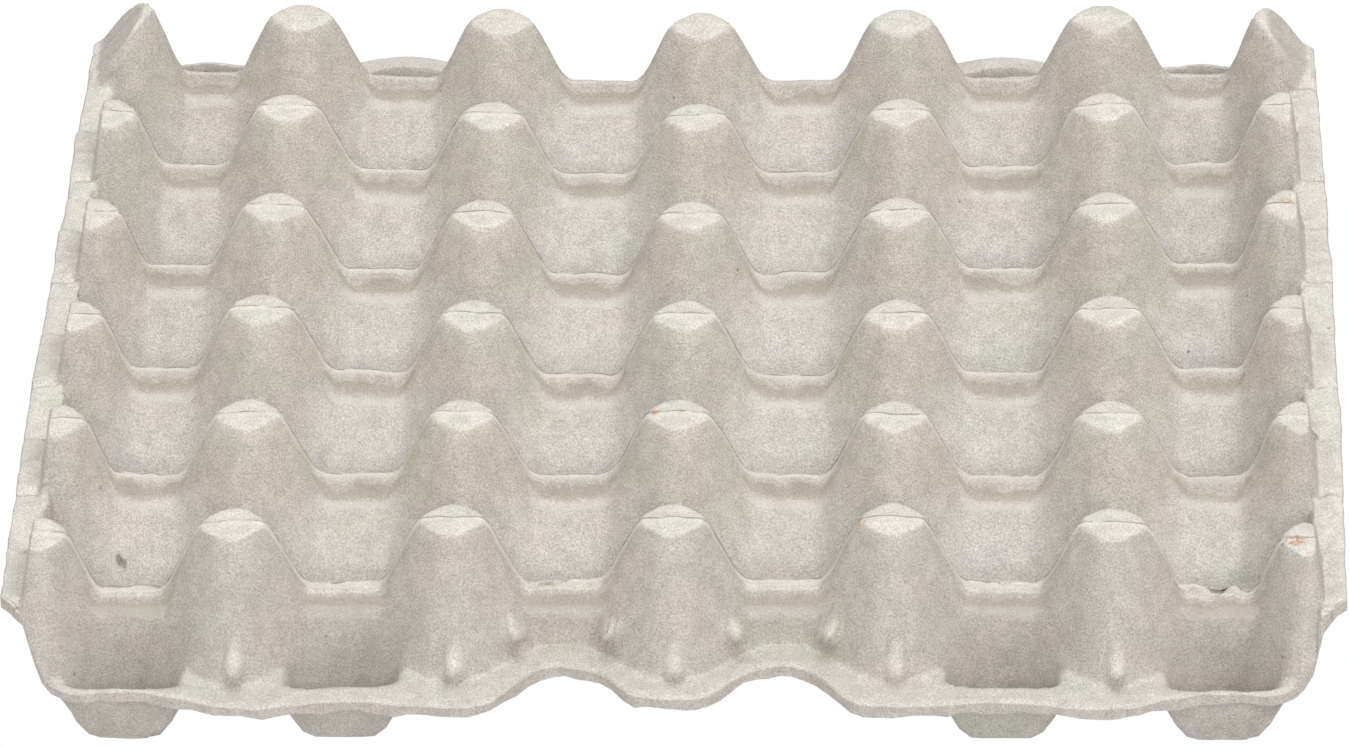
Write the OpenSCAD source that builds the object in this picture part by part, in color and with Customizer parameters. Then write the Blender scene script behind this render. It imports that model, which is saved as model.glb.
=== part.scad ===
// Moulded pulp egg tray: one thin shell of hollow posts, saddles and cups inside a rim.
// Frame: origin on the table under the middle of the tray, X along the columns, Y along the rows, Z up.
// The shell is the upper face of a form less the same form moved in by the wall, as two moulds leave it.

/* [Cells] */
// Egg cells along X
columns = 6; // [4:2:6]
// Egg cells along Y
rows = 5; // [3:1:5]
// Distance between posts along X
pitch_x = 48; // [46:0.5:52]
// Distance between posts along Y
pitch_y = 47; // [46:0.5:52]
// Distance from the last full post to the half post at the side
edge_pitch = 44; // [42:0.5:46]
// Thickness of the pulp
wall = 2; // [1.6:0.1:2.4]

/* [Posts] */
// Height of the tray from the table to the post caps
tray_h = 43; // [42:0.5:48]
// Reach of a cap from its centre towards the next post
cap_r = 7.2; // [6.5:0.1:8]
// Rounding of the cap edge
cap_round = 1.2; // [0.6:0.1:1.6]
// Growth of a post ridge outwards for each millimetre down
ridge_taper = 0.5; // [0.48:0.01:0.54]
// Growth of the half posts towards the cells for each millimetre down
side_taper = 0.36; // [0.34:0.01:0.48]
// Growth of the faces towards the cells for each millimetre down
face_taper = 0.39; // [0.36:0.01:0.4]

/* [Saddles] */
// Depth of a saddle below the caps
saddle_drop = 17.5; // [15:0.5:19]
// Width of the saddle crest
crest_w = 3; // [2.4:0.1:3.6]
// Depth of the ledge below the crest
ledge_drop = 3.6; // [3:0.1:4.4]
// Further depth of the ledge on the outer side of the end rows
end_ledge_drop = 2; // [1:0.1:3]
// Reach of the ledge from the crest line
ledge_reach = 4.4; // [4:0.1:4.8]
// Growth of the cell wall outwards for each millimetre down
wall_taper = 0.43; // [0.38:0.01:0.44]

/* [Rim] */
// Depth of the side flanges below the caps
side_drop = 14.5; // [13:0.5:16]
// Depth of the end flanges below the caps
end_drop = 28.5; // [26:0.5:29]
// Width of the flanges
rim_w = 7; // [6:0.5:8]
// Rounding of the finger notches in the end flanges
notch_round = 9; // [6:0.5:11]
// Rounding of the rim corners
side_round = 6; // [4:0.5:8]
// Length of the side flanges beyond the end rows
side_reach = 9.5; // [8:0.5:11]
// Height of the pads beside the half posts
pad_h = 1.2; // [0.8:0.1:1.8]
// Length of the pads
pad_len = 24; // [18:1:26]

/* [End pockets] */
// Width of an end pocket at the flange
pocket_w = 23; // [20:0.5:24]
// Distance of the pocket front from the end row of posts
pocket_reach = 24; // [22:0.5:25]
// Draft of the pocket walls for each millimetre down
pocket_taper = 0.33; // [0.28:0.01:0.36]
// Corner rounding of a pocket
pocket_round = 5.5; // [4:0.5:6]
// Radius of the nesting nubs
nub_r = 1.7; // [1.2:0.1:2]

/* [Hidden] */
arc_fn = 12;
edge_fn = 24;
nub_fn = 8;
skin = 0.01;
below = 1;
crest_round = 0.5;
side_wall_in = 0.5;
strip_step = 0.3;
half_points = [10, 11, 0, 1, 2, 3, 4];
upper_heights = [-below, tray_h - cap_round, tray_h];
under_heights = [-below, tray_h - wall];
half = 2;
mid = (columns - 2) / 2;
saddle_z = tray_h - saddle_drop;
ledge_z = saddle_z - ledge_drop;
side_z = tray_h - side_drop;
end_z = tray_h - end_drop;
end_y = rows * pitch_y / 2;
side_x = mid * pitch_x + edge_pitch;
outer_x = side_x + rim_w + side_wall_in;
foot_r = reach(end_z);
outer_y = end_y + max(pocket_reach, foot_r) + rim_w;
thin = wall * sqrt(1 + pow(face_taper, 2));
slope_wall = wall * sqrt(1 + pow(ridge_taper, 2));
end_x = pocket_w / 2 + rim_w - cell_x(0);
rim_lap = 2;
foot_lap = 5;
corner_out = 3;
cut_r = 1 / sqrt(2);
face_share = 0.92;
cap_face = cap_r * face_share;
pad_in = 1;
nub_sink = 0.5;
nub_low = 2;
nub_high = 8;
nub_up = 3;
nub_len = 0.6;
nub_gap = 9.9;

function post_x(i) = i == 0 ? -side_x : i == columns ? side_x : (i - columns / 2) * pitch_x;
function cell_x(i) = (post_x(i) + post_x(i + 1)) / 2;
function post_y(j) = (j - rows / 2) * pitch_y;
function reach(z) = cap_r + ridge_taper * (tray_h - z);
function face(z) = cap_face + face_taper * (tray_h - z);
function corner(z) = (face(z) - reach(z) * cut_r) / (1 - cut_r);
// Distance from the end row to the faces of the end posts beside a notch, at a place along the notch
function notch_face(along) = face(end_z + nub_up) / cut_r - (pitch_x / 2 - along);
function has_pocket(i) = abs(i + 0.5 - columns / 2) > 1;

// Section of a post: a square whose rounded corners point to its neighbours
function upper_ring(z, trim) = [
    for (turn = [0 : 90 : 270], step = [-45, 0, 45])
        (reach(z) - corner(z)) * [cos(turn), sin(turn)]
        + (corner(z) - trim) * [cos(turn + step), sin(turn + step)]
];

// Section made narrower along X
function squeezed(ring, share) = [for (p = ring) [p[0] * share, p[1]]];

// Share of a post's width that a half post keeps along X
function squeeze(z, inset) = (cap_r + side_taper * (tray_h - z) - inset) / (reach(z) - inset);

// Section of a half post, from its flat side round the corner that points to the cells
function half_ring(z, trim) = let (
    ring = upper_ring(z, trim),
    flank = reach(z) - trim
) concat(
    [[-side_wall_in, -flank]],
    squeezed([for (k = half_points) ring[k]], squeeze(z, 0)),
    [[-side_wall_in, flank]]
);

// Section of a post moved in by the wall, with one flat on each corner
function under_ring(z) = let (
    r = reach(z) - thin,
    flat = (face(z) - thin) / cut_r - r
) [
    for (turn = [0 : 90 : 270], side = [-flat, flat])
        [r * cos(turn) - side * sin(turn), r * sin(turn) + side * cos(turn)]
];

// Solid through a stack of sections with the same number of points
module loft(rings, heights) {
    n = len(rings[0]);
    top = len(rings) - 1;
    points = [for (k = [0 : top], p = rings[k]) [p[0], p[1], heights[k]]];
    sides = [
        for (k = [0 : top - 1], m = [0 : n - 1])
            [k * n + m, (k + 1) * n + m, (k + 1) * n + (m + 1) % n, k * n + (m + 1) % n]
    ];
    ends = [
        [for (m = [0 : n - 1]) m],
        [for (m = [n - 1 : -1 : 0]) top * n + m]
    ];
    polyhedron(points, concat(sides, ends));
}

// Post from its rounded cap to the table
module post(inset) {
    if (inset > 0)
        loft([for (z = under_heights) under_ring(z)], under_heights);
    else
        loft([for (z = upper_heights) upper_ring(z, z < tray_h ? 0 : cap_round)], upper_heights);
}

// Half post at a side: it ends in a flat face at the side flange
module half_post(inset) {
    if (inset > 0)
        difference() {
            loft([for (z = under_heights) squeezed(under_ring(z), squeeze(z, thin))], under_heights);
            translate([-outer_x - side_wall_in + inset, -outer_y, -below * half])
                cube([outer_x, outer_y * half, tray_h + below * half]);
        }
    else
        loft([for (z = upper_heights) half_ring(z, z < tray_h ? 0 : cap_round)], upper_heights);
}

// Half section of a saddle from its crest down to the table, on the side away from the end or towards it
function saddle_side(inset, drop, taper) =
    inset > 0
    ? [
        [ledge_reach - thin, ledge_z - drop - wall],
        [ledge_reach - thin + taper * (ledge_z - drop - wall + below), -below],
    ]
    : [
        [crest_w / 2, saddle_z],
        [crest_w / 2 + crest_round, ledge_z - drop],
        [ledge_reach, ledge_z - drop - crest_round],
        [ledge_reach + taper * (ledge_z - drop + below), -below],
    ];

// Saddle wall of a given length, laid along X
module saddle(length, inset, end) {
    near = saddle_side(inset, end ? end_ledge_drop : 0, end ? wall_taper / 4 : wall_taper);
    far = saddle_side(inset, 0, wall_taper);
    last = len(near) - 1;
    rotate([90, 0, 90])
        translate([0, 0, -length / 2])
            linear_extrude(length)
                polygon(concat(
                    [for (p = far) p],
                    [for (k = [last : -1 : 0]) [-near[k][0], near[k][1]]]
                ));
}

module posts(inset) {
    for (j = [0 : rows]) {
        for (i = [1 : columns - 1])
            translate([post_x(i), post_y(j), 0])
                post(inset);
        for (s = [0, 1])
            mirror([s, 0, 0])
                translate([-side_x, post_y(j), 0])
                    half_post(inset);
    }
}

module saddles(inset) {
    for (i = [0 : columns - 1]) {
        at_x = cell_x(i);
        length = post_x(i + 1) - post_x(i);
        for (j = [1 : rows - 1])
            translate([at_x, post_y(j), 0])
                saddle(length, inset, false);
        for (s = [0, 1])
            mirror([0, s, 0])
                translate([at_x, -end_y, 0])
                    saddle(length, inset, true);
    }
    for (i = [1 : columns - 1], j = [0 : rows - 1])
        translate([post_x(i), (post_y(j) + post_y(j + 1)) / 2, 0])
            rotate(90)
                saddle(pitch_y, inset, false);
}

// Side wall of the outer cells with the side flange on top
module side_wall(inset) {
    top = side_z - inset;
    inner = side_wall_in + (inset > 0 ? thin : 0);
    length = inset > 0 ? outer_y : end_y;
    rotate([90, 0, 0])
        translate([0, 0, -length])
            linear_extrude(length * half)
                polygon([
                    [-outer_x - below, -below],
                    [-outer_x - below, top],
                    [-side_x - inner, top],
                    [-side_x - inner + wall_taper * (top + below), -below],
                ]);
}

// Distance of the sloping rim from the end row
function slope_y(z) = end_y + reach(z) - strip_step;

// Rim at each corner: it leaves the side flange and runs down to the end flange
module corner_rims() {
    low = side_z - wall - strip_step;
    foot = end_z - strip_step;
    start = slope_y(end_z) - slope_wall / half;
    for (turn = [0, 1], s = [0, 1])
        mirror([0, turn, 0])
            mirror([s, 0, 0])
                translate([-outer_x, 0, 0]) {
                    rotate([90, 0, 90])
                        linear_extrude(rim_w + side_wall_in + rim_lap)
                            polygon([
                                [end_y - below, side_z],
                                [end_y - below, low],
                                [slope_y(low) - slope_wall, low],
                                [slope_y(foot) - slope_wall, foot],
                                [slope_y(foot), foot],
                                [slope_y(side_z), side_z],
                            ]);
                    translate([0, start, end_z - wall])
                        cube([rim_w + side_wall_in + foot_lap, outer_y - start, wall]);
                }
}

// Plan of an end pocket at one height
module pocket_slice(z, grow) {
    draft = pocket_taper * (end_z - z) - grow;
    translate([0, 0, z])
        linear_extrude(skin)
            offset(r = pocket_round, $fn = arc_fn)
                translate([draft + pocket_round - pocket_w / 2, draft + pocket_round - pocket_reach])
                    square([pocket_w - 2 * (draft + pocket_round), pocket_reach]);
}

// Void of an end pocket, wider by the wall for the underside
module end_pocket(inset) {
    grow = inset > 0 ? thin : 0;
    hull() {
        pocket_slice(-below, grow);
        pocket_slice(end_z + below, grow);
    }
}

// Low flange at an end with its pockets
module end_rim(inset) {
    difference() {
        translate([-outer_x - below, -outer_y - below, -below])
            cube([(outer_x + below) * half, outer_y + below - end_y, end_z - inset + below]);
        for (i = [0 : columns - 1])
            if (has_pocket(i))
                translate([cell_x(i), -end_y, 0])
                    end_pocket(inset);
    }
}

// Whole form, at its upper face or moved in for the underside
module form(inset) {
    posts(inset);
    saddles(inset);
    for (s = [0, 1]) {
        mirror([s, 0, 0])
            side_wall(inset);
        mirror([0, s, 0])
            end_rim(inset);
    }
}

// Footprint of an end row at the height of the end flange
module end_footprint() {
    inner = columns / 2 - 2;
    first = cell_x(0) - pocket_w / 2;
    last = cell_x(inner) + pocket_w / 2;
    translate([first, -end_y - ledge_reach])
        square([-first * half, end_y + ledge_reach]);
    for (i = [inner + 1 : columns - inner - 1])
        translate([post_x(i), -end_y])
            polygon(upper_ring(end_z, 0));
    for (s = [0, 1])
        mirror([s, 0])
            translate([first, -end_y - pocket_reach])
                square([last - first, pocket_reach]);
}

// Outer edge of the flanges in plan
module outline() {
    for (s = [0, 1])
        mirror([0, s])
            offset(r = -notch_round, $fn = edge_fn)
                offset(r = rim_w + notch_round, $fn = edge_fn)
                    end_footprint();
    offset(r = side_round, $fn = edge_fn)
        offset(delta = -side_round)
            for (turn = [0, 1], s = [0, 1])
                mirror([0, turn])
                    mirror([s, 0])
                        polygon([
                            [-below, -below],
                            [outer_x, -below],
                            [outer_x, end_y + side_reach],
                            [end_x + corner_out, outer_y - corner_out],
                            [end_x - rim_w, outer_y - rim_w],
                            [-below, end_y],
                        ]);
}

// Raised pads on the side flanges beside the half posts
module pads() {
    for (j = [0 : rows], s = [0, 1])
        mirror([s, 0, 0])
            translate([-outer_x, post_y(j) - pad_len / 2, side_z - pad_in])
                cube([rim_w, pad_len, pad_in + pad_h]);
}

// Rounded nub between two points
module nub(from, to) {
    hull()
        for (at = [from, to])
            translate(at)
                sphere(r = nub_r, $fn = nub_fn);
}

// Nubs at the feet of the end posts and beside the finger notches
module nubs() {
    low = end_z + nub_low;
    high = end_z + nub_high;
    beside = end_z + nub_up;
    for (s = [0, 1])
        mirror([0, s, 0])
            for (i = [1 : columns - 1])
                translate([post_x(i), -end_y + nub_sink, 0])
                    nub([0, -reach(low), low], [0, -reach(high), high]);
    for (turn = [0, 1], side = [0, 1])
        mirror([0, turn, 0])
            mirror([side, 0, 0])
                for (i = [0 : columns - 1])
                    if (!has_pocket(i))
                        translate([cell_x(i) + nub_gap, -end_y - notch_face(nub_gap), beside])
                            nub([0, 0, 0], [0, 0, nub_len]);
}

module egg_tray() {
    color("Tan")
        intersection() {
            union() {
                difference() {
                    union() {
                        form(0);
                        pads();
                        nubs();
                        translate([-outer_x, -outer_y, 0])
                            cube([outer_x * half, outer_y * half, wall]);
                    }
                    form(wall);
                }
                corner_rims();
            }
            linear_extrude(tray_h + below)
                outline();
        }
}

egg_tray();
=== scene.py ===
import math

import bpy
import numpy as np
from mathutils import Matrix, Vector


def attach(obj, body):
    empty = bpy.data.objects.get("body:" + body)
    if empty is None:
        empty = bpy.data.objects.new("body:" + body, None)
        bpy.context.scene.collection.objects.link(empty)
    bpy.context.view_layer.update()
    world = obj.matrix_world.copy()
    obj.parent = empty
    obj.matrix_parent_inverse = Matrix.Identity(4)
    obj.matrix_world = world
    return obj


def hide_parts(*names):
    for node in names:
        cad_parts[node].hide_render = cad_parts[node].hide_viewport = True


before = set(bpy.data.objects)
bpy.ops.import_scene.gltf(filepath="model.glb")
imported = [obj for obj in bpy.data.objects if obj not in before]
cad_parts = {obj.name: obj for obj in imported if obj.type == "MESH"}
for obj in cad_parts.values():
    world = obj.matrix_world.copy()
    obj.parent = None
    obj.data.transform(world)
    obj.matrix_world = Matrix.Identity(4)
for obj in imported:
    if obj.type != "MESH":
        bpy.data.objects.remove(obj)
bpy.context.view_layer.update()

# Sizes of the tray in millimetres, from the CAD source; some are set a little closer to the photo
PITCH_X, PITCH_Y = 48.0, 47.0
WALL, TRAY_H = 2.0, 43.0
CAP_R, RIDGE_TAPER, FACE_TAPER, SIDE_TAPER = 7.2, 0.475, 0.39, 0.36
CAP_FACE = CAP_R * 0.92
LEDGE_Z, LEDGE_REACH, WALL_TAPER = 21.9, 4.4, 0.43
SIDE_Z, END_Z = 28.5, 14.5
RIM_W, PAD_H, PAD_LEN = 7.0, 1.2, 24.0
SIDE_WALL_IN = 0.5
POCKET_W, POCKET_REACH, POCKET_TAPER, POCKET_ROUND = 24.6, 24.0, 0.42, 9.0
POCKET_LONG = POCKET_REACH - 0.1
# The outer wall of a pocket stands steeper than its sides, and the outer pockets lie further out
POCKET_STEEP, POCKET_SHIFT = 2.4, 1.7
THIN = WALL * math.sqrt(1 + FACE_TAPER**2)
POST_X = np.array([-140.0, -96.0, -48.0, 0.0, 48.0, 96.0, 140.0])
POST_Y = (np.arange(6) - 2.5) * PITCH_Y
BACK_ROW = len(POST_Y) - 1
END_Y, SIDE_X = POST_Y[-1], POST_X[-1]
OUTER_X = SIDE_X + RIM_W + SIDE_WALL_IN
CELL_X = (POST_X[1:] + POST_X[:-1]) / 2
POCKET_X = (CELL_X[0] - POCKET_SHIFT, CELL_X[1], CELL_X[4], CELL_X[5] + POCKET_SHIFT)
# A post is left out of the sum beyond this distance from its axis
POST_SPAN = 42
# Half posts as the photo shows them: distance of the axis, cap reach, outer face at the flange and its lean
HALF_POSTS = {-1: (138.2, 6.2, 141.8, 0.117), 1: (137.8, 5.6, 141.6, 0.117)}
HALF_DROPS = {-1: (2.0, 2.0, 2.0, 2.0, 2.0, -1.5), 1: (2.9, 0.5, 0.5, 0.5, 0.5, 0.0)}
BACK_FACE, BACK_LEAN = 147.0, 0.85
# Rim corner in plan, from the side flange to the end flange
CORNER_A, CORNER_B = (146.8, END_Y + 8.0), (134.5, END_Y + 23.0)
# Outer edge of an end flange from its middle to a corner: distance along X and along Y
NOTCH = [
    (0, 146), (4, 145.9), (8, 145), (9.4, 144), (13, 138.8), (16.7, 135.1), (21, 133), (25, 132.4),
    (29, 133.6), (31, 136), (34, 140.1), (38, 146.5), (40, 148), (43, 148.5), (90, 148.2), (100, 146.6),
    (108, 144), (116, 142.8), (160, 142.8),
]
# Bow of the side flanges: height, half length and how far its ends lie further in
SIDE_BOW, SIDE_LONG, SIDE_BOW_IN = 1.2, 131.5, 0.8
# Saddle section: distance from the crest line and height
CREST = [
    (0, 26.9), (0.9, 26.8), (1.4, 26.3), (1.7, 25.3), (1.85, 23.8), (2.0, 22.6), (2.4, 22.15), (3.2, 22.0),
    (4.4, 21.75), (5.2, 21.0), (5.9, 19.6),
]
END_CREST = [
    (0, 26.2), (2.2, 26.1), (3.0, 25.6), (3.5, 24.8), (3.7, 23.8), (3.8, 22.9), (4.2, 22.4), (4.8, 22.1),
    (5.3, 21.0),
]
# Rounding of the floors: pockets, cells from above and cells from below; pockets start past the end row
POCKET_FLOOR, CELL_FLOOR, FOOT_FLOOR, POCKET_START = 8.0, 4.0, 0.02, END_Y + 4
# Torn edge: its thickness and spread, the least wall, and the bands along the edge that it shapes
TORN_EDGE, TORN_SPREAD, LEAST_WALL = 2.7, 0.7, 1.3
EDGE_BAND, CORNER_BAND, EDGE_LIP, CORNER_X = 3, 9, 0.8, 137
# Lift of the tray at each post, front row first: the pulp has dried a little out of true
LIFT = np.array([
    (-0.9, -0.5, 0.8, 0.9, 1.2, -0.4, -1.0),
    (0.2, 0.0, -0.1, 0.1, -0.2, -0.1, 0.0),
    (0.8, 0.4, -1.2, -1.3, -1.2, 0.0, 0.6),
    (1.5, 0.9, -1.0, -1.6, -0.5, 1.0, 1.8),
    (2.3, 1.8, -0.3, -0.7, 0.6, 2.0, 2.6),
    (2.5, 1.1, -0.3, -1.3, -0.6, 0.5, 1.5),
])
# Waves of the end flanges, front and back
WAVE_FRONT, WAVE_BACK = 0.7, 1.9
# Upright nubs stand on the end posts, a little off their axes; round nubs stand beside the finger notches
UPRIGHT_OFF, UPRIGHT_LOW, UPRIGHT_HIGH, UPRIGHT_R, UPRIGHT_H = 0.6, END_Z + 1.5, END_Z + 5.5, 2.3, 2.2
ROUND_X, ROUND_OUT, ROUND_Z, ROUND_R, ROUND_H = (-33.9, -14.1, 14.1, 33.9), 8.4, END_Z + 6.2, 3.3, 4.2
# Painted highlights on the nubs: distance out, height and radius; the painted shadows below them lie further
# out and lower
ROUND_HIGHLIGHT, UPRIGHT_HIGHLIGHT = (10.6, END_Z + 6.8, 2.7), (20.5, END_Z + 4.5, 3.0)
SHADOW_OUT, SHADOW_DOWN, SHADOW_R = 1.5, 4.6, 2.2
# Marks: stains as place and radius, and one tear as two ends
STAINS = (
    (137.3, 24.6, 43.8, 2.0), (135.5, -118.6, 39.2, 2.8), (-5.5, -70.0, 43, 1.8), (41.6, -117.6, 43.0, 2.0),
    (0.5, -70.3, 43, 1.2),
)
TEAR = ((-128.2, -78.5, 16.2), (-123.1, -81.2, 6.6))
# Crumpled places: x, y, radius, height
CRUMPLES = (
    (118, -117.5, 9, 2.0), (-24, -117.5, 8, 0.7), (-30, -117.5, 4, 0.8), (70, -117.5, 7, 0.5),
    (-118, -70.5, 8, 0.5), (24, 23.5, 7, 0.4),
)
# Grids of the two faces: spacing near the posts' axes and between them, steps across the side and end flanges
TOP_GRID, UNDER_GRID = (0.55, 1.3, 8, 24), (2.0, 2.6, 4, 12)
SPLIT_X, SPLIT_Y = 141.5, 122.5
# Colours of the pulp, and tones that paint light and shade on it: highlights on nubs, ledges and lips, shade
# under crests, in creases and in the tear, shadows below the nubs
FRONT_SHADE_TONE, WALL_TONE, CELL_LIT_TONE = (0.405, 0.38, 0.348, 1), (0.45, 0.42, 0.375, 1), (0.60, 0.58, 0.55, 1)
FLANGE_LIT_TONE, CAP_LIT_TONE = (0.515, 0.495, 0.455, 1), (0.56, 0.54, 0.495, 1)
NUB_HIGHLIGHT_TONE, NUB_SHADOW_TONE = (0.57, 0.55, 0.505, 1), (0.27, 0.245, 0.21, 1)
PINK_TINT, GREEN_TINT = (1.02, 0.99, 0.995, 1), (0.98, 1.0, 0.965, 1)
RECESS_SHADE_TONE, LEDGE_HIGHLIGHT_TONE, LIP_HIGHLIGHT_TONE = (0.34, 0.295, 0.245, 1), (0.60, 0.58, 0.54, 1), (0.63, 0.61, 0.565, 1)
SPECK_TONE, CREASE_SHADE_TONE = (0.12, 0.11, 0.10, 1), (0.22, 0.185, 0.14, 1)
STAIN_TONE, TEAR_SHADE_TONE = (0.42, 0.20, 0.07, 1), (0.10, 0.085, 0.06, 1)
# Pitch of the mesh imprint in metres
WEAVE_PITCH = 0.00058


def smooth_max(a, b, k):
    """The larger of two values, with a rounded change from one to the other."""
    h = np.maximum(k - np.abs(a - b), 0.0) / k
    return np.maximum(a, b) + h * h * k / 4


def smooth_min(a, b, k):
    return -smooth_max(-a, -b, k)


def smooth_step(t):
    t = np.clip(t, 0, 1)
    return t * t * (3 - 2 * t)


def value_noise(x, y, size, seed):
    """Smooth noise from -1 to 1 with bumps of about the given size."""
    count = 257
    table = np.random.default_rng(seed).uniform(-1, 1, (count, count))
    u, v = x / size + 1000.0, y / size + 1000.0
    i, j = np.floor(u).astype(int), np.floor(v).astype(int)
    s, t = smooth_step(u - i), smooth_step(v - j)
    i0, j0, i1, j1 = i % count, j % count, (i + 1) % count, (j + 1) % count
    a = table[i0, j0] * (1 - s) + table[i1, j0] * s
    b = table[i0, j1] * (1 - s) + table[i1, j1] * s
    return a * (1 - t) + b * t


def post_depth(dx, dy, inset):
    """Depth below the cap at which a post's rounded-square section reaches the point."""
    a, b = np.abs(dx), np.abs(dy)
    a, b = np.maximum(a, b), np.minimum(a, b)
    cut = 1 / math.sqrt(2)
    corner0 = (CAP_FACE - CAP_R * cut) / (1 - cut)
    corner_k = (FACE_TAPER - RIDGE_TAPER * cut) / (1 - cut)
    core0, core_k = CAP_R - corner0, RIDGE_TAPER - corner_k
    flat = ((a + b) * cut + inset - CAP_FACE) / FACE_TAPER
    r0 = corner0 - inset
    qa = core_k**2 - corner_k**2
    qb = -2 * ((a - core0) * core_k + r0 * corner_k)
    qc = (a - core0) ** 2 + b**2 - r0**2
    disc = np.sqrt(np.maximum(qb**2 - 4 * qa * qc, 0))
    round_ = np.where(abs(qa) < 1e-9, -qc / qb, (-qb - disc) / (2 * qa))
    return np.where(b < a - core0 - core_k * flat, round_, flat)


def half_depth(dx, dy, inset, cap):
    """The same for a half post, which grows less towards the cells."""
    depth = post_depth(dx, dy, inset)
    for _ in range(6):
        d = np.clip(depth, 0, 50)
        share = (cap + SIDE_TAPER * d - inset) / (CAP_R + RIDGE_TAPER * d - inset)
        depth = post_depth(dx / share, dy, inset)
    return depth


def softened(line, low, high, step, blur):
    """A line through points, mirrored at zero and blurred: places and values."""
    fine = np.arange(low, high, step)
    kernel = np.exp(-0.5 * (np.arange(-30, 31) * step / blur) ** 2)
    return fine[30:-30], np.convolve(np.interp(np.abs(fine), *zip(*line)), kernel / kernel.sum(), "valid")


def saddle(d, under, end=False):
    """Height of a saddle at a distance from its crest line; end means the outer side of an end row."""
    taper, fall = (WALL_TAPER / 4 if end else WALL_TAPER), 60
    if under:
        reach_in, low = LEDGE_REACH - THIN, LEDGE_Z - WALL - (2 if end else 0)
        line = [(0, low), (reach_in, low)]
    else:
        line = list(END_CREST if end else CREST)
    line.append((line[-1][0] + taper * fall, line[-1][1] - fall))
    return np.interp(d, *softened(line, -2, 40, 0.05, 0.3))


def box_depth(x, y, half_x, half_y, r):
    """Distance inside a rounded rectangle about the origin, positive inside."""
    qx, qy = np.abs(x) - half_x + r, np.abs(y) - half_y + r
    outside = np.hypot(np.maximum(qx, 0), np.maximum(qy, 0))
    return r - outside - np.minimum(np.maximum(qx, qy), 0)


def form(x, y, under):
    """Height of the upper face, or of the underside."""
    inset, drop, blend = (THIN, WALL, 1.0) if under else (0.0, 0.0, 1.8)
    soft, fillet = (0.6, 1.0) if under else (1.7, 4.5)
    ax, ay = np.abs(x), np.abs(y)
    outside = ay > END_Y
    z = np.full(x.shape, -40.0)
    # Saddles
    for j, py in enumerate(POST_Y):
        d = np.abs(y - py)
        row = saddle(d, under)
        if j in (0, BACK_ROW):
            row = np.where(outside, saddle(d, under, True), row)
        z = smooth_max(z, row, blend)
    for px in POST_X[1:-1]:
        z = np.where(outside, z, smooth_max(z, saddle(np.abs(x - px), under), blend))
    # Side walls and flanges
    side_in = SIDE_X + SIDE_WALL_IN + inset
    wall_z = np.where(ax > side_in, SIDE_Z - drop, SIDE_Z - drop - (side_in - ax) / WALL_TAPER)
    z = np.where(outside, z, smooth_max(z, wall_z, blend))
    # End flanges, pockets and corner rims
    end_z = np.full(x.shape, END_Z - drop)
    along = np.maximum(POCKET_LONG - (POCKET_LONG - ay + END_Y) * POCKET_STEEP, 0)
    for px in POCKET_X:
        depth = box_depth(x - px, along, POCKET_W / 2, POCKET_LONG, POCKET_ROUND) + inset
        end_z = smooth_min(end_z, END_Z - drop - depth / POCKET_TAPER, 1.6)
    z = np.where(outside, smooth_max(z, end_z, 2.5), z)
    slope = TRAY_H - drop - (ay - END_Y + inset - CAP_R) / RIDGE_TAPER
    rim = smooth_max(smooth_min(slope, np.full(x.shape, SIDE_Z - drop), 3), np.full(x.shape, END_Z - drop), 3)
    z = np.where(outside & (ax > side_in), rim, z)
    # Posts and half posts
    for px in POST_X[1:-1]:
        for py in POST_Y:
            near = (np.abs(x - px) < POST_SPAN) & (np.abs(y - py) < POST_SPAN)
            depth = post_depth(x[near] - px, y[near] - py, inset)
            post = TRAY_H - drop - 0.5 * (depth + np.sqrt(depth**2 + soft**2))
            z[near] = smooth_max(z[near], post, fillet)
    for side, (axis, cap, face_x, lean) in HALF_POSTS.items():
        for j, py in enumerate(POST_Y):
            near = (np.abs(x - side * axis) < POST_SPAN) & (np.abs(y - py) < POST_SPAN)
            depth = half_depth(x[near] - side * axis, y[near] - py, inset, cap)
            post = TRAY_H - HALF_DROPS[side][j] - drop - 0.5 * (depth + np.sqrt(depth**2 + soft**2))
            at, flank = (BACK_FACE, BACK_LEAN) if j == BACK_ROW else (face_x, lean)
            face = SIDE_Z - drop + (at - inset - ax[near]) / flank
            z[near] = smooth_max(z[near], smooth_min(post, face, 2.5), fillet)
    # Floors of the cells and of the pockets
    floor = np.full(x.shape, 0.0 if under else WALL)
    rounding = np.where(ay > POCKET_START, POCKET_FLOOR, FOOT_FLOOR if under else CELL_FLOOR)
    return smooth_max(z, floor, rounding)


def edge_y(x):
    """Outer edge of the end flanges: cut corners and two finger notches."""
    ax = np.abs(x)
    corner = CORNER_B[1] + (ax - CORNER_B[0]) * (CORNER_B[1] - CORNER_A[1]) / (CORNER_B[0] - CORNER_A[0])
    ragged = 0.35 * value_noise(x, x * 0, 5, 21) + 0.2 * value_noise(x, x * 0, 1.7, 22)
    return smooth_min(np.interp(ax, *softened(NOTCH, -4, 156, 0.1, 1.0)), corner, 7) + ragged


def edge_x(x, y):
    """Outer edge of the side flanges."""
    bow = SIDE_BOW * np.cos(np.clip(y / SIDE_LONG, -1, 1) * math.pi / 2) - SIDE_BOW_IN
    ragged = 0.4 * value_noise(y, np.sign(x) * 40, 16, 23) + 0.15 * value_noise(y, np.sign(x) * 40, 4, 24)
    return OUTER_X + bow + ragged


def graded(low, high, centres, near, far):
    """Grid lines from low to high that are closer together near the centres."""
    fine = np.linspace(low, high, 6001)
    d = np.abs(fine[:, None] - np.asarray(centres)[None, :]).min(1)
    step = near + (far - near) * np.clip((d - 2.5) / 3.5, 0, 1)
    mass = np.concatenate([[0], np.cumsum((1 / step[1:] + 1 / step[:-1]) / 2 * (fine[1] - fine[0]))])
    return np.interp(np.linspace(0, mass[-1], int(round(mass[-1])) + 1), mass, fine)


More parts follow.
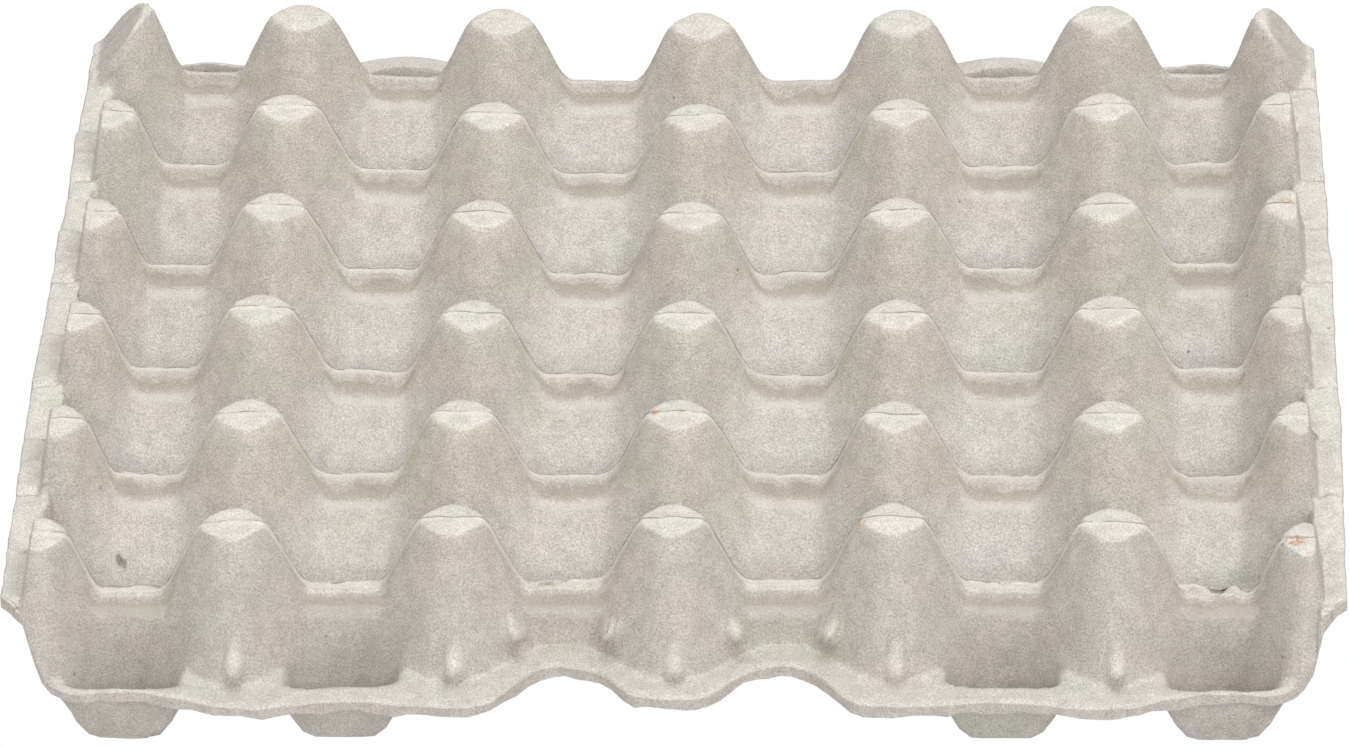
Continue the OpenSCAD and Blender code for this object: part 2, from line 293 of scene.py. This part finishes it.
def plan_grid(near, far, rim_steps, end_steps):
    """Structured grid in plan whose border follows the outline."""
    lines, shares = [], []
    for split, centres, steps in ((SPLIT_X, POST_X, rim_steps), (SPLIT_Y, POST_Y, end_steps)):
        inner = graded(-split, split, centres, near, far)
        rim = 1 - (1 - np.linspace(0, 1, steps + 1)[1:]) ** 1.3
        lines.append(np.concatenate([np.full(steps, -split), inner, np.full(steps, split)]))
        shares.append(np.concatenate([-rim[::-1], np.zeros(len(inner)), rim]))
    x, y = np.meshgrid(*lines, indexing="ij")
    share_x, share_y = np.meshgrid(*shares, indexing="ij")
    x = x + share_x * (edge_x(x, y) - SPLIT_X)
    y = y + share_y * (edge_y(x) - SPLIT_Y)
    return x, y


def border_of(shape):
    """Point numbers round the border of a grid, counter-clockwise in plan."""
    number = np.arange(shape[0] * shape[1]).reshape(shape)
    return np.concatenate([number[:-1, 0], number[-1, :-1], number[:0:-1, -1], number[0, :0:-1]]).tolist()


def travel(loop, points):
    """Share of the way round a border at each of its points."""
    p = points[loop + [loop[0]]][:, :2]
    run = np.concatenate([[0], np.cumsum(np.hypot(*np.diff(p, axis=0).T))])
    return run / run[-1]


def normals_of(x, y, z):
    """Unit normals of a grid of points, pointing up."""
    p = np.stack([x, y, z], 2)
    n = np.cross(np.gradient(p, axis=0), np.gradient(p, axis=1))
    return n / np.linalg.norm(n, axis=2, keepdims=True)


def to_segment(x, y, z, a, b):
    """Distance of points from the line between two points."""
    a, b = np.array(a, float), np.array(b, float)
    p = np.stack([x, y, z], -1) - a
    t = np.clip(p @ (b - a) / max((b - a) @ (b - a), 1e-9), 0, 1)
    return np.linalg.norm(p - t[..., None] * (b - a), axis=-1)


def reach(z):
    """Distance of a post's ridge from its axis at a height."""
    return CAP_R + RIDGE_TAPER * (TRAY_H - z)


def bumps(x, y, z):
    """Upright nubs, creases, rough crests, crumples, the tear and folds, out from the surface."""
    out = np.zeros(x.shape)
    for side in (-1, 1):
        for px in POST_X[1:-1] + UPRIGHT_OFF:
            foot, tip = ((px, side * (END_Y + reach(h)), h) for h in (UPRIGHT_LOW, UPRIGHT_HIGH))
            out += UPRIGHT_H * np.maximum(1 - (to_segment(x, y, z, foot, tip) / UPRIGHT_R) ** 2, 0)
    row = np.abs(y[..., None] - POST_Y).min(-1)
    broken = smooth_step(value_noise(x, y, 4.0, 5) * 0.9 + 0.75)
    out += 0.35 * np.exp(-(((row - 0.3) / 0.45) ** 2)) * smooth_step((z - 22) / 3) * broken
    crest = np.exp(-((row / 1.8) ** 2)) * smooth_step((z - 22) / 2) * smooth_step((28 - z) / 1.5)
    out += crest * (0.3 * value_noise(x, y, 5.5, 6) + 0.22 * value_noise(x, y, 1.7, 7))
    for cx, cy, r, h in CRUMPLES:
        out += h * np.exp(-(((x - cx) / r) ** 2 + ((y - cy) / 3.5) ** 2)) * value_noise(x, y, 2.4, 8)
    out -= 0.8 * np.exp(-((to_segment(x, y, z, *TEAR) / 0.9) ** 2))
    fold = np.exp(-(((np.abs(x) - 140.8) / 2.1) ** 2)) * smooth_step((row - 9) / 4) * (np.abs(y) < END_Y)
    out += fold * (1.4 * value_noise(x, y, 3.6, 9) + 0.5 * value_noise(x, y, 1.4, 10))
    return out


def round_nubs(x, y, z):
    """Round nubs beside the finger notches, as an offset that points out and a little up."""
    out = np.zeros(x.shape)
    for side in (-1, 1):
        for px in ROUND_X:
            spot = (px, side * (END_Y + ROUND_OUT), ROUND_Z)
            out += ROUND_H * np.maximum(1 - (to_segment(x, y, z, spot, spot) / ROUND_R) ** 2, 0)
    return np.stack([out * 0, out * np.sign(y) * 0.95, out * 0.2], 2)


def settle(x, y, z):
    """Bend the tray as it lies in the photo: the lift at each post and the waves of the end flanges."""
    across = np.stack([np.interp(x, POST_X, row) for row in LIFT], -1)
    t = np.clip((y - POST_Y[0]) / PITCH_Y, 0, 4.9999)
    i = np.floor(t).astype(int)[..., None]
    f = smooth_step(t - np.floor(t))
    front, behind = (np.take_along_axis(across, i + k, -1)[..., 0] for k in (0, 1))
    lift = front * (1 - f) + behind * f
    high = np.where(y > 0, WAVE_BACK, WAVE_FRONT) * (0.3 - np.cos(2 * math.pi * x / PITCH_X))
    wave = high * smooth_step((np.abs(y) - END_Y - 14) / 12) * smooth_step((np.abs(x) - 36) / 8)
    return z + lift * smooth_step(z / 20) + wave * smooth_step(z / 12)


def top_points(x, y):
    """Points of the upper face."""
    ax, ay = np.abs(x), np.abs(y)
    z = form(x, y, False)
    for py in POST_Y:
        ends = PAD_LEN / 2 + 0.6 * value_noise(x, y * 0 + py, 3, 11) - np.maximum(144.0 - ax, 0) ** 2 * 0.35
        pad = smooth_step((ends - np.abs(y - py)) / 0.9) * smooth_step((ax - 141.0) / 0.8)
        z = z + PAD_H * pad * smooth_step((31 - z) / 2)
    edge = np.minimum(edge_y(x) - ay, edge_x(x, y) - ax)
    z = settle(x, y, z) - 0.5 * np.exp(-((np.maximum(edge, 0) / 0.8) ** 2))
    n = normals_of(x, y, z)
    rough = 0.24 * value_noise(x, y, 17, 1) + 0.15 * value_noise(x, y, 6, 2)
    rough = rough + 0.09 * value_noise(x + z, y - z, 2.4, 3)
    move = (bumps(x, y, z) + rough) * np.where(edge < 0.4, 0.3, 1.0)
    return np.stack([x, y, z], 2) + n * move[..., None] + round_nubs(x, y, z)


def under_points(x, y):
    """Points of the underside, with a torn edge about as thick as the photo shows."""
    top = form(x, y, False)
    z = np.maximum(np.minimum(form(x, y, True), top - LEAST_WALL), 0)
    edge = np.minimum(edge_y(x) - np.abs(y), edge_x(x, y) - np.abs(x))
    torn = TORN_EDGE + TORN_SPREAD * value_noise(x, y, 4, 12)
    corner = (np.abs(y) > END_Y) & (np.abs(x) > CORNER_X)
    z = np.where(edge < np.where(corner, CORNER_BAND, EDGE_BAND), np.maximum(z, top - torn), z)
    z = np.where((edge < EDGE_LIP) & ~corner, np.minimum(z, top - torn), z)
    return np.stack([x, y, np.maximum(settle(x, y, z), 0)], 2)


def edge_strip(top, under, top_border, under_border):
    """Triangles that join the borders of the two faces."""
    a, b = top_border, under_border
    ra, rb = travel(a, top), travel(b, under)
    strip, i, j = [], 0, 0
    while i < len(a) or j < len(b):
        p, q = a[i % len(a)], b[j % len(b)] + len(top)
        if j == len(b) or (i < len(a) and ra[i + 1] <= rb[j + 1]):
            strip.append((p, q, a[(i + 1) % len(a)]))
            i += 1
        else:
            strip.append((p, q, b[(j + 1) % len(b)] + len(top)))
            j += 1
    return strip


def mark_places(x, y, z):
    """Where the material shows stains, the tear, painted highlights on the nubs and painted shadows below
    them, from 0 to about 1.
    """
    stain = sum(np.exp(-((to_segment(x, y, z, p[:3], p[:3]) / p[3]) ** 2)) for p in STAINS)
    tear = np.exp(-((to_segment(x, y, z, *TEAR) / 1.0) ** 2))
    nub, nub_shadow = np.zeros(len(x)), np.zeros(len(x))
    highlight_spots = [(px, *ROUND_HIGHLIGHT) for px in ROUND_X]
    highlight_spots += [(px + UPRIGHT_OFF, *UPRIGHT_HIGHLIGHT) for px in POST_X[1:-1]]
    for px, out, pz, r in highlight_spots:
        for side in (-1, 1):
            spot = (px, side * (END_Y + out), pz)
            shadow_at = (px, side * (END_Y + out + SHADOW_OUT), pz - SHADOW_DOWN)
            nub += np.exp(-((to_segment(x, y, z, spot, spot) / r) ** 4))
            nub_shadow += np.exp(-((to_segment(x, y, z, shadow_at, shadow_at) / SHADOW_R) ** 2))
    return {"stain": stain, "tear": tear, "nub": nub, "nub_shadow": nub_shadow}


def build_tray():
    """The tray as one closed mesh: upper face, underside and the edge between them."""
    tx, ty = plan_grid(*TOP_GRID)
    ux, uy = plan_grid(*UNDER_GRID)
    quads = []
    for shape, offset in ((tx.shape, 0), (ux.shape, tx.size)):
        number = np.arange(shape[0] * shape[1]).reshape(shape) + offset
        corners = [number[:-1, :-1], number[1:, :-1], number[1:, 1:], number[:-1, 1:]]
        quads.append(np.stack(corners, 2).reshape(-1, 4))
    top, under = top_points(tx, ty).reshape(-1, 3), under_points(ux, uy).reshape(-1, 3)
    strip = edge_strip(top, under, border_of(tx.shape), border_of(ux.shape))
    points = np.concatenate([top, under]) / 1000
    faces = quads[0].tolist() + quads[1][:, ::-1].tolist() + strip
    mesh = bpy.data.meshes.new("pulp_egg_tray")
    mesh.from_pydata(points.tolist(), [], faces)
    mesh.update()
    # The edge stays flat-shaded, so that it shows as a band
    mesh.polygons.foreach_set("use_smooth", np.arange(len(faces)) < len(faces) - len(strip))
    obj = bpy.data.objects.new("pulp_egg_tray", mesh)
    bpy.context.scene.collection.objects.link(obj)
    for name, value in mark_places(*(points.T * 1000)).items():
        mesh.attributes.new(name, "FLOAT", "POINT").data.foreach_set("value", value.astype(np.float32))
    return obj


def pulp_material():
    """Pale grey-brown pulp: tone by place and slope with painted light and shade, mesh imprint, grain,
    specks, creases with painted shade, painted highlights and shadows, and marks.
    """
    mat = bpy.data.materials.new("pulp")
    mat.use_nodes = True
    nodes, links = mat.node_tree.nodes, mat.node_tree.links

    def put(socket, value):
        if isinstance(value, bpy.types.NodeSocket):
            links.new(value, socket)
        else:
            socket.default_value = value

    def calc(operation, *values):
        node = nodes.new("ShaderNodeMath")
        node.operation = operation
        for socket, value in zip(node.inputs, values):
            put(socket, value)
        return node.outputs[0]

    def times(first, *others):
        for other in others:
            first = calc("MULTIPLY", first, other)
        return first

    def ramp(value, low, high, start=0.0, end=1.0):
        node = nodes.new("ShaderNodeMapRange")
        node.interpolation_type = "SMOOTHSTEP"
        inputs = {"Value": value, "From Min": low, "From Max": high, "To Min": start, "To Max": end}
        for name, item in inputs.items():
            put(node.inputs[name], item)
        return node.outputs["Result"]

    def band(value, low, low_end, high, high_end):
        return times(ramp(value, low, low_end), ramp(value, high, high_end, 1, 0))

    def mix(factor, first, second, blend="MIX"):
        node = nodes.new("ShaderNodeMix")
        node.data_type, node.blend_type = "RGBA", blend
        for name, item in zip(("Factor", "A", "B"), (factor, first, second)):
            put(node.inputs[name], item)
        return node.outputs["Result"]

    def noise(scale, detail):
        node = nodes.new("ShaderNodeTexNoise")
        node.inputs["Scale"].default_value = scale
        node.inputs["Detail"].default_value = detail
        links.new(place, node.inputs["Vector"])
        return node.outputs["Fac"]

    def mark(name):
        node = nodes.new("ShaderNodeAttribute")
        node.attribute_name = name
        return node.outputs["Fac"]

    place = nodes.new("ShaderNodeTexCoord").outputs["Object"]
    split = nodes.new("ShaderNodeSeparateXYZ")
    links.new(place, split.inputs[0])
    x, y, z = split.outputs
    side, end = calc("ABSOLUTE", x), calc("ABSOLUTE", y)
    facing = nodes.new("ShaderNodeSeparateXYZ")
    links.new(nodes.new("ShaderNodeNewGeometry").outputs["Normal"], facing.inputs[0])
    # Tone by place, with painted light and shade: cell walls in the base tone, outer faces painted darker,
    # the lower parts of the cells painted brighter, and what faces up painted paler, high faces and the side
    # flanges palest
    inside = times(ramp(end, 0.115, 0.119, 1, 0), ramp(side, 0.134, 0.139, 1, 0))
    deep_lit = times(ramp(z, 0.010, 0.033, 1, 0), inside)
    up = ramp(facing.outputs[2], 0.68, 0.93)
    pale = calc("MAXIMUM", ramp(z, 0.024, 0.034), ramp(side, 0.139, 0.142))
    shade = mix(inside, FRONT_SHADE_TONE, WALL_TONE)
    shade = mix(deep_lit, shade, CELL_LIT_TONE)
    shade = mix(up, shade, mix(pale, FLANGE_LIT_TONE, CAP_LIT_TONE))
    # Painted highlights on the nubs and painted shadows below them
    for name, colour, strength in (("nub", NUB_HIGHLIGHT_TONE, 0.85), ("nub_shadow", NUB_SHADOW_TONE, 0.75)):
        shade = mix(times(calc("MINIMUM", mark(name), 1.0), strength), shade, colour)
    # Cloudy tints
    shade = mix(ramp(noise(70, 3), 0.35, 0.65), shade, mix(1.0, shade, PINK_TINT, "MULTIPLY"))
    shade = mix(ramp(noise(45, 2), 0.5, 0.7), shade, mix(1.0, shade, GREEN_TINT, "MULTIPLY"))
    shade = mix(1.0, shade, ramp(noise(260, 4), 0.3, 0.7, 0.935, 1.065), "MULTIPLY")
    # Mesh imprint and grain
    turn = 2 * math.pi / WEAVE_PITCH
    weave = times(calc("SINE", times(x, turn)), calc("SINE", times(calc("ADD", y, z), turn)))
    grain = noise(2600, 2)
    tint = calc("ADD", ramp(grain, 0.25, 0.75, 0.76, 1.24), times(weave, 0.09))
    shade = mix(1.0, shade, tint, "MULTIPLY")
    # Sparse dark specks
    specks = nodes.new("ShaderNodeTexVoronoi")
    specks.inputs["Scale"].default_value = 75
    links.new(place, specks.inputs["Vector"])
    shade = mix(ramp(specks.outputs["Distance"], 0.022, 0.04, 0.6, 0), shade, SPECK_TONE)
    # Distance from the nearest row of posts in millimetres, with a slight wobble
    wobble = times(calc("SUBTRACT", noise(160, 2), 0.5), 0.0018)
    rows = calc("ADD", calc("DIVIDE", calc("ADD", y, wobble), PITCH_Y / 1000), 0.5)
    off = times(calc("SUBTRACT", rows, calc("ROUND", rows)), PITCH_Y)
    far = calc("ABSOLUTE", off)
    body = ramp(side, 0.139, 0.141, 1, 0)
    # Painted shade under the crests and painted highlights on the ledges; the bead of an end row is broader
    # on its outer side
    low_crest = times(band(z, 0.018, 0.020, 0.0275, 0.0285), body)
    past = calc("SUBTRACT", far, times(calc("SUBTRACT", 1.0, inside), 1.7))
    recess_shade = times(band(past, 1.5, 1.8, 2.3, 3.3), low_crest)
    shade = mix(times(recess_shade, 0.5), shade, RECESS_SHADE_TONE)
    ledge_highlight = times(band(far, 3.3, 4.0, 4.9, 5.7), low_crest, ramp(z, 0.0233, 0.0243, 1, 0))
    ledge_highlight = times(ledge_highlight, calc("MAXIMUM", inside, ramp(z, 0.0206, 0.0216, 0, 0.6)))
    shade = mix(times(ledge_highlight, 0.4), shade, LEDGE_HIGHLIGHT_TONE)
    # Painted shade in the crease along each row with a painted highlight beside it, and painted shade in the
    # creases at the pad ends
    broken = ramp(noise(210, 2), 0.36, 0.54)
    creased = times(body, ramp(z, 0.022, 0.025), ramp(y, 0.105, 0.110, 1, 0))
    lip_highlight = times(band(off, -1.5, -0.7, -0.2, 0.1), creased)
    shade = mix(times(lip_highlight, 0.4), shade, LIP_HIGHLIGHT_TONE)
    line = times(ramp(calc("ABSOLUTE", calc("SUBTRACT", off, 0.25)), 0.15, 0.42, 1, 0), broken, creased)
    pad_end = times(ramp(calc("ABSOLUTE", calc("SUBTRACT", far, PAD_LEN / 2)), 0.1, 0.4, 1, 0), broken)
    pad_end = times(pad_end, calc("SUBTRACT", 1.0, body))
    line = calc("MAXIMUM", line, times(pad_end, 0.6))
    shade = mix(times(line, 0.65), shade, CREASE_SHADE_TONE)
    # Rust-coloured stains, and painted shade in the tear
    for name, colour, strength, least in (("stain", STAIN_TONE, 0.75, 0.0), ("tear", TEAR_SHADE_TONE, 0.9, 0.7)):
        patch = times(ramp(mark(name), 0.3, 0.8, 0, strength), ramp(noise(900, 2), 0.35, 0.6, least, 1))
        shade = mix(patch, shade, colour)
    shader = nodes["Principled BSDF"]
    shader.inputs["Roughness"].default_value = 0.95
    shader.inputs["Specular IOR Level"].default_value = 0.12
    links.new(shade, shader.inputs["Base Color"])
    bump = nodes.new("ShaderNodeBump")
    bump.inputs["Strength"].default_value = 0.5
    bump.inputs["Distance"].default_value = 0.0005
    height = calc("ADD", calc("ADD", grain, times(weave, 0.12)), times(line, -0.8))
    links.new(height, bump.inputs["Height"])
    links.new(bump.outputs["Normal"], shader.inputs["Normal"])
    return mat


tray = build_tray()
tray.data.materials.append(pulp_material())
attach(tray, "root")
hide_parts("egg_tray")

scene = bpy.context.scene
scene.view_settings.view_transform = "Standard"
world = bpy.data.worlds.new("studio")
scene.world = world
world.use_nodes = True
world.node_tree.nodes["Background"].inputs["Color"].default_value = (1, 1, 1, 1)
world.node_tree.nodes["Background"].inputs["Strength"].default_value = 1.0

# Camera found from the photo: the thirty full post caps fix it
PHOTO_WIDTH, SENSOR_WIDTH = 1349, 36
FOCAL, ELEVATION, AZIMUTH, ROLL = 9264.86, 29.8237, 2.2302, -1.0833
TARGET, DISTANCE = Vector((-1.38, -53.05, TRAY_H)) / 1000, 2.07342
el, az, roll = math.radians(ELEVATION), math.radians(AZIMUTH), math.radians(ROLL)
back = Vector((math.sin(az) * math.cos(el), -math.cos(az) * math.cos(el), math.sin(el)))
right = Vector((math.cos(az), math.sin(az), 0))
up = back.cross(right)
turned_right = right * math.cos(roll) + up * math.sin(roll)
turned_up = up * math.cos(roll) - right * math.sin(roll)
for name, energy, angle, towards in (("key", 0.95, 40, Vector((0.42, -0.25, 0.87))), ("fill", 1.1, 15, back)):
    sun = bpy.data.objects.new(name, bpy.data.lights.new(name, "SUN"))
    sun.data.energy, sun.data.angle = energy, math.radians(angle)
    sun.rotation_mode = "QUATERNION"
    sun.rotation_quaternion = towards.to_track_quat("Z", "Y")
    scene.collection.objects.link(sun)
camera = bpy.data.objects.new("camera", bpy.data.cameras.new("camera"))
camera.data.sensor_width = SENSOR_WIDTH
camera.data.lens = FOCAL / PHOTO_WIDTH * SENSOR_WIDTH
camera.data.clip_start, camera.data.clip_end = 0.05, 20
stand = Matrix((turned_right, turned_up, back)).transposed().to_4x4()
stand.translation = TARGET + back * DISTANCE
camera.matrix_world = stand
scene.collection.objects.link(camera)
scene.camera = camera
